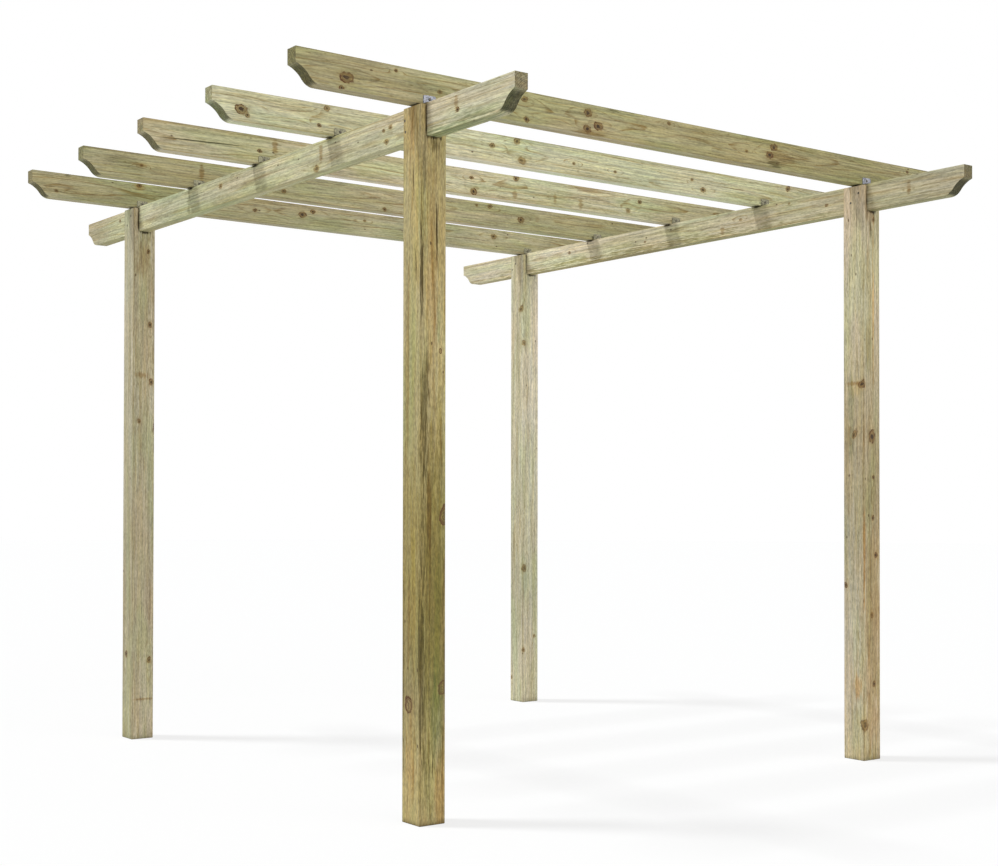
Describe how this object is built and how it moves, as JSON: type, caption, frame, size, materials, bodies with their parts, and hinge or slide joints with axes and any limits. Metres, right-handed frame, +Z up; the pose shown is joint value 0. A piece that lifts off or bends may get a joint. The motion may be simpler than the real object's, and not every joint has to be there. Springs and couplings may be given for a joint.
{
  "type": "wooden garden pergola",
  "caption": "Free-standing square timber pergola: slotted posts carry a pair of beams, and shaped-end rafters lie across them on small galvanised angle brackets.",
  "frame": {"origin": "on the floor, midway between the four posts", "axes": "+Z up, +X along the rafters to the right-hand posts, +Y along the beams to the back posts"},
  "size_m": [2.82, 2.82, 2.155],
  "materials": {
    "post_timber": "planed pressure-treated softwood, green-tan, with knots",
    "beam_timber": "planed pressure-treated softwood, pale green-tan",
    "rafter_timber": "planed pressure-treated softwood, olive-tan, with knots",
    "galvanised_steel": "dull galvanised sheet"
  },
  "bodies": {
    "root": {"post_front_left": "post_timber", "post_front_right": "post_timber", "post_back_left": "post_timber", "post_back_right": "post_timber", "beam_left": "beam_timber", "beam_right": "beam_timber", "rafter_1": "rafter_timber", "rafter_2": "rafter_timber", "rafter_3": "rafter_timber", "rafter_4": "rafter_timber", "rafter_5": "rafter_timber", "bracket_1_left": "galvanised_steel", "bracket_2_left": "galvanised_steel", "bracket_3_left": "galvanised_steel", "bracket_4_left": "galvanised_steel", "bracket_5_left": "galvanised_steel", "bracket_1_right": "galvanised_steel", "bracket_2_right": "galvanised_steel", "bracket_3_right": "galvanised_steel", "bracket_4_right": "galvanised_steel", "bracket_5_right": "galvanised_steel"}
  },
  "joints": []
}
